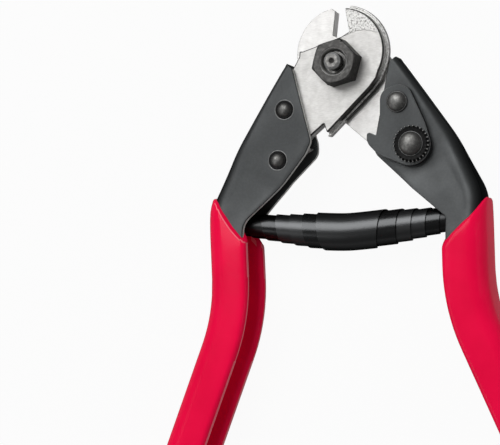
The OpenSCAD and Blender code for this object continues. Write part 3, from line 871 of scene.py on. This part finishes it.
def makeLatchPlate(p):
    corners = [flat(corner) + flat(p["rivet"]) for corner in p["corners"]]
    turns = [2 * math.pi * k / p["holeSides"] for k in range(p["holeSides"])]
    loops = [rounded(corners, p["radii"])]
    loops += [[flat(p[hole]) + heading(t) * p["hole"] for t in turns] for hole in ("rivet", "thumb")]
    curve = bpy.data.curves.new("latchOutline", "CURVE")
    curve.dimensions, curve.fill_mode = "2D", "BOTH"
    curve.extrude = (p["high"] - p["low"]) / 2 - p["edge"]
    curve.bevel_depth, curve.bevel_resolution, curve.offset = p["edge"], p["edgeSteps"], -p["edge"]
    for loop in loops:
        spline = curve.splines.new("POLY")
        spline.points.add(len(loop) - 1)
        for point, spot in zip(spline.points, loop):
            point.co = (*spot, 0, 1)
        spline.use_cyclic_u = True
    rough = curveMesh(curve)
    bm = bmesh.new()
    bm.from_mesh(rough)
    bpy.data.meshes.remove(rough)
    bmesh.ops.remove_doubles(bm, verts=bm.verts, dist=p["mergeGap"])
    bmesh.ops.recalc_face_normals(bm, faces=bm.faces)
    # the plate's slanted edge faces take a lighter paint: a painted highlight along its edges
    for face in bm.faces:
        face.material_index = 1 if p["highlightSlant"][0] < face.normal.z < p["highlightSlant"][1] else 0
    lift = Matrix.Translation((0, 0, (p["low"] + p["high"]) / 2))
    bm.transform(Matrix.Scale(mm, 4) @ placeArm("right") @ lift)
    mesh = meshOf(bm, "latchPlate", [finish["paint"], finish["paintedHighlight"]], p["plateSharp"])
    standsFor(addObject("latchPlate", mesh), "latch", "latch_plate")


def makeThumbDisc(p):
    # a tooth and the gap beside it take four steps round the rim; a tooth's chamfer is painted bright as a
    # highlight
    bm = bmesh.new()
    count = 4 * p["teeth"]
    top, dished = p["discHeight"], p["discHeight"] - p["dish"][1]

    def ring(reach, height, toothed=False):
        reaches = [reach - (p["toothDepth"] if toothed and k % 4 > 1 else 0) for k in range(count)]
        turns = [2 * math.pi * (k - 0.5) / count for k in range(count)]
        return [bm.verts.new((*heading(turn) * r, height)) for turn, r in zip(turns, reaches)]

    rings = [ring(p["discRadius"], 0, True), ring(p["discRadius"], top - p["chamfer"], True),
             ring(p["discRadius"] - p["chamfer"], top, True), ring(p["dish"][0], dished),
             ring(p["bore"], dished), ring(p["bore"], 0)]
    for i, (a, b) in enumerate(zip(rings, rings[1:] + rings[:1])):
        for k in range(count):
            j = (k + 1) % count
            face = bm.faces.new((a[k], a[j], b[j], b[k]))
            face.material_index = 1 if i == 1 and k % 4 == 0 else 0
    bmesh.ops.recalc_face_normals(bm, faces=bm.faces)
    bm.transform(Matrix.Scale(mm, 4) @ placeArm("right") @ Matrix.Translation((*p["thumb"], p["high"])))
    mesh = meshOf(bm, "thumbDisc", [finish["disc"], finish["paintedGlint"]], p["discSharp"])
    standsFor(addObject("thumbDisc", mesh), "latch", "thumb_disc")


makeLatchPlate(latch)
makeThumbDisc(latch)
print("hardware and latch made")

plainHead = {"head": 2.2, "headRise": 1.58, "flange": 2.9, "flangeRise": 0.34, "rim": 3.06}
# each spot: x, y, height of the seat, 1 where the head faces the back, length of the shank behind it
rivet = {
    "segments": 40, "domeRings": 18, "shank": 2.3, "shankSides": 24, "flangeSlope": 0.3,
    "wire": 0.13, "wireSides": 8, "sharpAngle": 40,
    "leftUpperRivet": {
        "node": "left_upper_rivet", "body": "left_arm", "slot": "black_paint", **plainHead,
        "spots": [(-18.01, -13.15, 16.15, 0, 8.4), (-18.01, -13.15, 7.75, 1, 0.5)]},
    "leftLowerRivet": {
        "node": "left_lower_rivet", "body": "left_arm", "slot": "black_paint", **plainHead,
        "spots": [(-20.78, -28.84, 16.15, 0, 8.4), (-20.78, -28.84, 7.75, 1, 0.5)]},
    "latchRivet": {
        "node": "latch_rivet", "body": "right_arm", "slot": "black_paint",
        "head": 3.05, "headRise": 1.65, "flange": 3.15, "flangeRise": 0.15, "rim": 3.05,
        "spots": [(18.01, -13.151, 14.55, 0, 11.3), (18.01, -13.151, 3.25, 1, 0.5)]},
    "rightLowerRivet": {
        "node": "right_lower_rivet", "body": "right_arm", "slot": "black_paint", **plainHead,
        "spots": [(15.02, -23.08, 3.25, 1, 8.35)]},
    "thumbRivet": {
        "node": "thumb_rivet", "body": "latch", "slot": "dark_hardware",
        "head": 3.7, "headRise": 2.15, "flange": 3.85, "flangeRise": 0.12, "rim": 3.7,
        "spots": [(22.16, -26.52, 15.45, 0, 3.7)]},
}
rivetSizes = ("head", "headRise", "flange", "flangeRise", "rim")


def newTree(name, inputs):
    # a geometry tree with a number input for each name, and the identifiers of those inputs
    tree = bpy.data.node_groups.new(name, "GeometryNodeTree")
    face = tree.interface
    face.new_socket("Geometry", in_out="INPUT", socket_type="NodeSocketGeometry")
    made = [face.new_socket(key, in_out="INPUT", socket_type="NodeSocketFloat") for key in inputs]
    face.new_socket("Geometry", in_out="OUTPUT", socket_type="NodeSocketGeometry")
    return tree, {socket.name: socket.identifier for socket in made}


def applyTree(piece, tree, keys, values):
    made = piece.modifiers.new(tree.name, "NODES")
    made.node_group = tree
    for key, identifier in keys.items():
        made[identifier] = float(values[key])


def triple(tree, x, y, z):
    return addNode(tree, "ShaderNodeCombineXYZ", X=x, Y=y, Z=z).outputs[0]


def attribute(tree, name):
    return addNode(tree, "GeometryNodeInputNamedAttribute", Name=name).outputs[0]


def marked(tree, mesh, name, value):
    made = addNode(tree, "GeometryNodeStoreNamedAttribute", domain="FACE", Geometry=mesh, Name=name,
                   Value=value)
    return made.outputs[0]


def joined(tree, *meshes):
    made = addNode(tree, "GeometryNodeJoinGeometry")
    for mesh in meshes:
        plug(tree, made.inputs[0], mesh)
    return made.outputs[0]


def painted(tree, mesh, mat, **selection):
    return addNode(tree, "GeometryNodeSetMaterial", Geometry=mesh, Material=mat, **selection).outputs[0]


def rivetHead(tree, r, head, headRise, flange, flangeRise, rim):
    # dark is 0 on the dome, 1 on the flange, painted near-black as the shade of the groove round the dome,
    # and 2 on the hoop round it, painted lighter as a highlight
    dome = addNode(tree, "GeometryNodeMeshUVSphere", Segments=r["segments"], Rings=r["domeRings"], Radius=1.0)
    dome = addNode(tree, "GeometryNodeTransform", Geometry=dome.outputs[0],
                   Scale=triple(tree, head, head, headRise))
    skirt = addNode(tree, "GeometryNodeMeshCone", Vertices=r["segments"], Radius_Bottom=flange,
                    Radius_Top=plus(tree, flange, -r["flangeSlope"]), Depth=flangeRise)
    hoop = addNode(tree, "GeometryNodeCurvePrimitiveCircle", Resolution=r["segments"], Radius=rim)
    wire = addNode(tree, "GeometryNodeCurvePrimitiveCircle", Resolution=r["wireSides"], Radius=r["wire"])
    hoop = addNode(tree, "GeometryNodeCurveToMesh", Curve=hoop.outputs[0], Profile_Curve=wire.outputs[0])
    return joined(tree, *[marked(tree, part.outputs[0], "dark", dark)
                          for part, dark in ((dome, 0.0), (skirt, 1.0), (hoop, 2.0))])


def rivetTree(r):
    tree, keys = newTree("domedRivet", rivetSizes)
    entry = addNode(tree, "NodeGroupInput")
    spots = entry.outputs["Geometry"]
    head = rivetHead(tree, r, *[entry.outputs[key] for key in rivetSizes])
    shank = addNode(tree, "GeometryNodeMeshCylinder", Vertices=r["shankSides"], Radius=r["shank"], Depth=1.0)
    shank = addNode(tree, "GeometryNodeTransform", Geometry=shank.outputs[0], Translation=(0, 0, -0.5))
    turn = triple(tree, times(tree, attribute(tree, "flip"), math.pi), 0.0, 0.0)
    heads = addNode(tree, "GeometryNodeInstanceOnPoints", Points=spots, Instance=head, Rotation=turn)
    shanks = addNode(tree, "GeometryNodeInstanceOnPoints", Points=spots, Rotation=turn,
                     Instance=marked(tree, shank.outputs[0], "dark", 0.0),
                     Scale=triple(tree, 1.0, 1.0, attribute(tree, "reach")))
    both = joined(tree, heads.outputs[0], shanks.outputs[0])
    mesh = addNode(tree, "GeometryNodeRealizeInstances", Geometry=both).outputs[0]
    dark = attribute(tree, "dark")
    mesh = painted(tree, mesh, finish["rivet"])
    # painted shade on the flange, painted highlight on the hoop
    mesh = painted(tree, mesh, finish["disc"], Selection=dark)
    mesh = painted(tree, mesh, finish["hoop"], Selection=mathNode(tree, "GREATER_THAN", dark, 1.5))
    addNode(tree, "NodeGroupOutput", Geometry=mesh)
    return tree, keys


def makeRivet(name, r, tree, keys, sharpAngle):
    mesh = bpy.data.meshes.new(name)
    mesh.from_pydata([spot[:3] for spot in r["spots"]], [], [])
    for column, key in ((3, "flip"), (4, "reach")):
        stored = mesh.attributes.new(key, "FLOAT", "POINT")
        stored.data.foreach_set("value", [spot[column] for spot in r["spots"]])
    piece = addObject(name, mesh)
    applyTree(piece, tree, keys, r)
    frozen(piece)
    piece.data.transform(Matrix.Scale(mm, 4))
    shade(piece.data, sharpAngle)
    standsFor(piece, r["body"], r["node"])


domedRivet, rivetKeys = rivetTree(rivet)
for name in ("leftUpperRivet", "leftLowerRivet", "latchRivet", "rightLowerRivet", "thumbRivet"):
    makeRivet(name, rivet[name], domedRivet, rivetKeys, rivet["sharpAngle"])
print("rivets made")

# a strip wound from the middle to both ends, each turn inside the one before; phase in degrees
spring = {
    "turns": 7.0, "middleRadius": 6.1, "taper": 0.55, "easing": 0.02, "thickness": 0.24,
    "middleHalf": 6.6, "rightPitch": 4.4, "leftPitch": 3.9, "rightFirst": 3.6, "leftFirst": 1.6,
    "leftEase": 0.11, "settling": 1.6, "rows": 337, "columns": 25, "phase": 200.0, "firstTurn": 0.05,
    "left": (-41.45, -46.63), "right": (41.23, -49.03), "middle": (0.0, -51.83),
    "evenBend": 0.35, "endBend": 0.12, "farthest": 1.2, "lean": 0.6, "sharpAngle": 40,
}
springSizes = ("turns", "middleRadius", "taper", "easing", "middleHalf", "rightPitch", "leftPitch",
               "rightFirst", "leftFirst", "leftEase", "phase", "firstTurn")


def springTree(s):
    tree, keys = newTree("rolledStrip", springSizes)
    entry = addNode(tree, "NodeGroupInput")
    o = {key: entry.outputs[key] for key in springSizes}
    strip = addNode(tree, "GeometryNodeMeshGrid", Size_X=1, Size_Y=1, Vertices_X=s["columns"],
                    Vertices_Y=s["rows"])
    spot = addNode(tree, "GeometryNodeInputPosition").outputs[0]
    x, y = addNode(tree, "ShaderNodeSeparateXYZ", Vector=spot).outputs[:2]
    turn = times(tree, plus(tree, y, 0.5), o["turns"])
    squared = times(tree, turn, turn)
    first = minus(tree, 1.0, mathNode(tree, "EXPONENT", times(tree, turn, -s["settling"])))

    def halfWidth(side):
        # how far the strip reaches to one side of the middle at this turn
        wound = plus(tree, times(tree, turn, o[side + "Pitch"]), times(tree, first, o[side + "First"]))
        return plus(tree, o["middleHalf"], wound)

    right = halfWidth("right")
    left = plus(tree, halfWidth("left"), times(tree, squared, o["leftEase"]))
    along = minus(tree, times(tree, plus(tree, x, 0.5), plus(tree, left, right)), left)
    radius = minus(tree, o["middleRadius"], times(tree, turn, o["taper"]))
    radius = plus(tree, radius, times(tree, squared, o["easing"]))
    angle = plus(tree, times(tree, turn, 2 * math.pi), times(tree, o["phase"], math.pi / 180))
    sine, cosine = mathNode(tree, "SINE", angle), mathNode(tree, "COSINE", angle)
    wound = triple(tree, along, times(tree, radius, sine), times(tree, radius, cosine))
    number = mathNode(tree, "FLOOR", plus(tree, turn, o["firstTurn"]))
    mesh = marked(tree, strip.outputs["Mesh"], "turn", number)
    mesh = addNode(tree, "GeometryNodeSetPosition", Geometry=mesh, Position=wound).outputs[0]
    mesh = addNode(tree, "GeometryNodeRealizeInstances", Geometry=mesh).outputs[0]
    addNode(tree, "NodeGroupOutput", Geometry=painted(tree, mesh, finish["spring"]))
    return tree, keys


def springAxis(s, x):
    # the spring hangs between its ends in a curve that is steeper near them
    middle = flat(s["middle"])
    end = flat(s["right"] if x >= 0 else s["left"])
    t = min(s["farthest"], abs(x) / abs(end.x))
    steep = (1 - s["evenBend"]) * (1 + s["endBend"]) * t * t / (t + s["endBend"])
    return middle.y + (end.y - middle.y) * (s["evenBend"] * t * t + steep)


def makeSpring(s):
    mesh = bpy.data.meshes.new("voluteSpring")
    mesh.from_pydata([(0, 0, 0)], [], [])
    piece = addObject("voluteSpring", mesh)
    applyTree(piece, *springTree(s), s)
    wall = piece.modifiers.new("wall", "SOLIDIFY")
    wall.thickness = s["thickness"]
    wall.offset = -1
    frozen(piece)
    height = arm["shearHeight"]
    for v in piece.data.vertices:
        x, y, z = v.co
        slope = springAxis(s, x + 0.5) - springAxis(s, x - 0.5)
        v.co = Vector((x - y * slope * s["lean"], springAxis(s, x) + y, height + z)) * mm
    bm = bmesh.new()
    bm.from_mesh(piece.data)
    bmesh.ops.recalc_face_normals(bm, faces=bm.faces)
    bm.to_mesh(piece.data)
    bm.free()
    shade(piece.data, s["sharpAngle"])
    start, end = [tuple(c * mm for c in (*s[side], height)) for side in ("left", "right")]
    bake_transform(piece)
    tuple(start)
    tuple(end)
    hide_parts("volute_spring")


makeSpring(spring)
print("spring made")

# metres and watts; seen and mirrored: how white the floor is to the camera and in metal
studio = {
    "floorSize": 3.0, "floorDrop": 0.0004, "floorColour": 0.42, "floorRoughness": 0.9, "floorSeen": 0.95,
    "floorMirrored": 0.22,
    "worldLevel": 0.13, "overhead": 0.14, "horizon": 0.5, "horizonRise": (0.03, 0.18),
    "aim": (0, -0.06, 0.01),
    "lamps": {
        "keyLamp": {"spot": (-0.20, 0.35, 0.66), "size": (0.6, 0.6), "power": 5.8, "inMetal": True},
        "fillLamp": {"spot": (-0.55, -0.30, 0.50), "size": (0.5, 0.5), "power": 1.1, "inMetal": True},
        "sideLamp": {"spot": (0.60, -0.12, 0.24), "size": (0.4, 0.3), "power": 1.3, "inMetal": False},
    },
}


def rayShares(owner):
    # 1 for the camera's own rays, and 1 for those that metal and glass send on
    rays = addNode(owner, "ShaderNodeLightPath").outputs
    return rays["Is Camera Ray"], larger(owner, rays["Is Glossy Ray"], rays["Is Transmission Ray"])


def makeFloor(s):
    bm = bmesh.new()
    bmesh.ops.create_grid(bm, x_segments=1, y_segments=1, size=s["floorSize"])
    bm.transform(Matrix.Translation((0, 0, -s["floorDrop"])))
    mat = newMaterial("paleFloor", (s["floorColour"],) * 3, s["floorRoughness"])
    seen, mirrored = rayShares(mat)
    strength = larger(mat, seen, times(mat, mirrored, s["floorMirrored"]))
    white = addNode(mat, "ShaderNodeEmission", Color=(1, 1, 1, 1), Strength=strength)
    nodes = mat.node_tree.nodes
    mixed = addNode(mat, "ShaderNodeMixShader", Fac=larger(mat, times(mat, seen, s["floorSeen"]), mirrored))
    plug(mat, mixed.inputs[1], nodes["Principled BSDF"].outputs[0])
    plug(mat, mixed.inputs[2], white.outputs[0])
    plug(mat, nodes["Material Output"].inputs[0], mixed.outputs[0])
    mesh = bpy.data.meshes.new("floor")
    bm.to_mesh(mesh)
    bm.free()
    mesh.materials.append(mat)
    addObject("floor", mesh)


def makeWorld(s):
    # white to the camera, pale at the horizon in metal, dim overhead and in the light it gives
    world = bpy.data.worlds.new("studio")
    bpy.context.scene.world = world
    world.use_nodes = True
    background = world.node_tree.nodes["Background"]
    seen, mirrored = rayShares(world)
    direction = addNode(world, "ShaderNodeTexCoord").outputs["Generated"]
    rise = addNode(world, "ShaderNodeSeparateXYZ", Vector=direction).outputs[2]
    sky = ramp(world, rise, *s["horizonRise"], s["horizon"], s["overhead"])
    background.inputs["Color"].default_value = (1, 1, 1, 1)
    level = larger(world, larger(world, seen, times(world, mirrored, sky)), s["worldLevel"])
    plug(world, background.inputs["Strength"], level)


def makeLamp(name, spot, size, power, inMetal):
    data = bpy.data.lights.new(name, "AREA")
    data.shape = "RECTANGLE"
    data.size, data.size_y = size
    data.energy = power
    lamp = bpy.data.objects.new(name, data)
    lamp.location = spot
    lamp.rotation_euler = (Vector(studio["aim"]) - Vector(spot)).to_track_quat("-Z", "Y").to_euler()
    lamp.visible_glossy = inMetal
    bpy.context.collection.objects.link(lamp)


makeFloor(studio)
makeWorld(studio)
for name, lamp in studio["lamps"].items():
    makeLamp(name, **lamp)
print("studio lit")
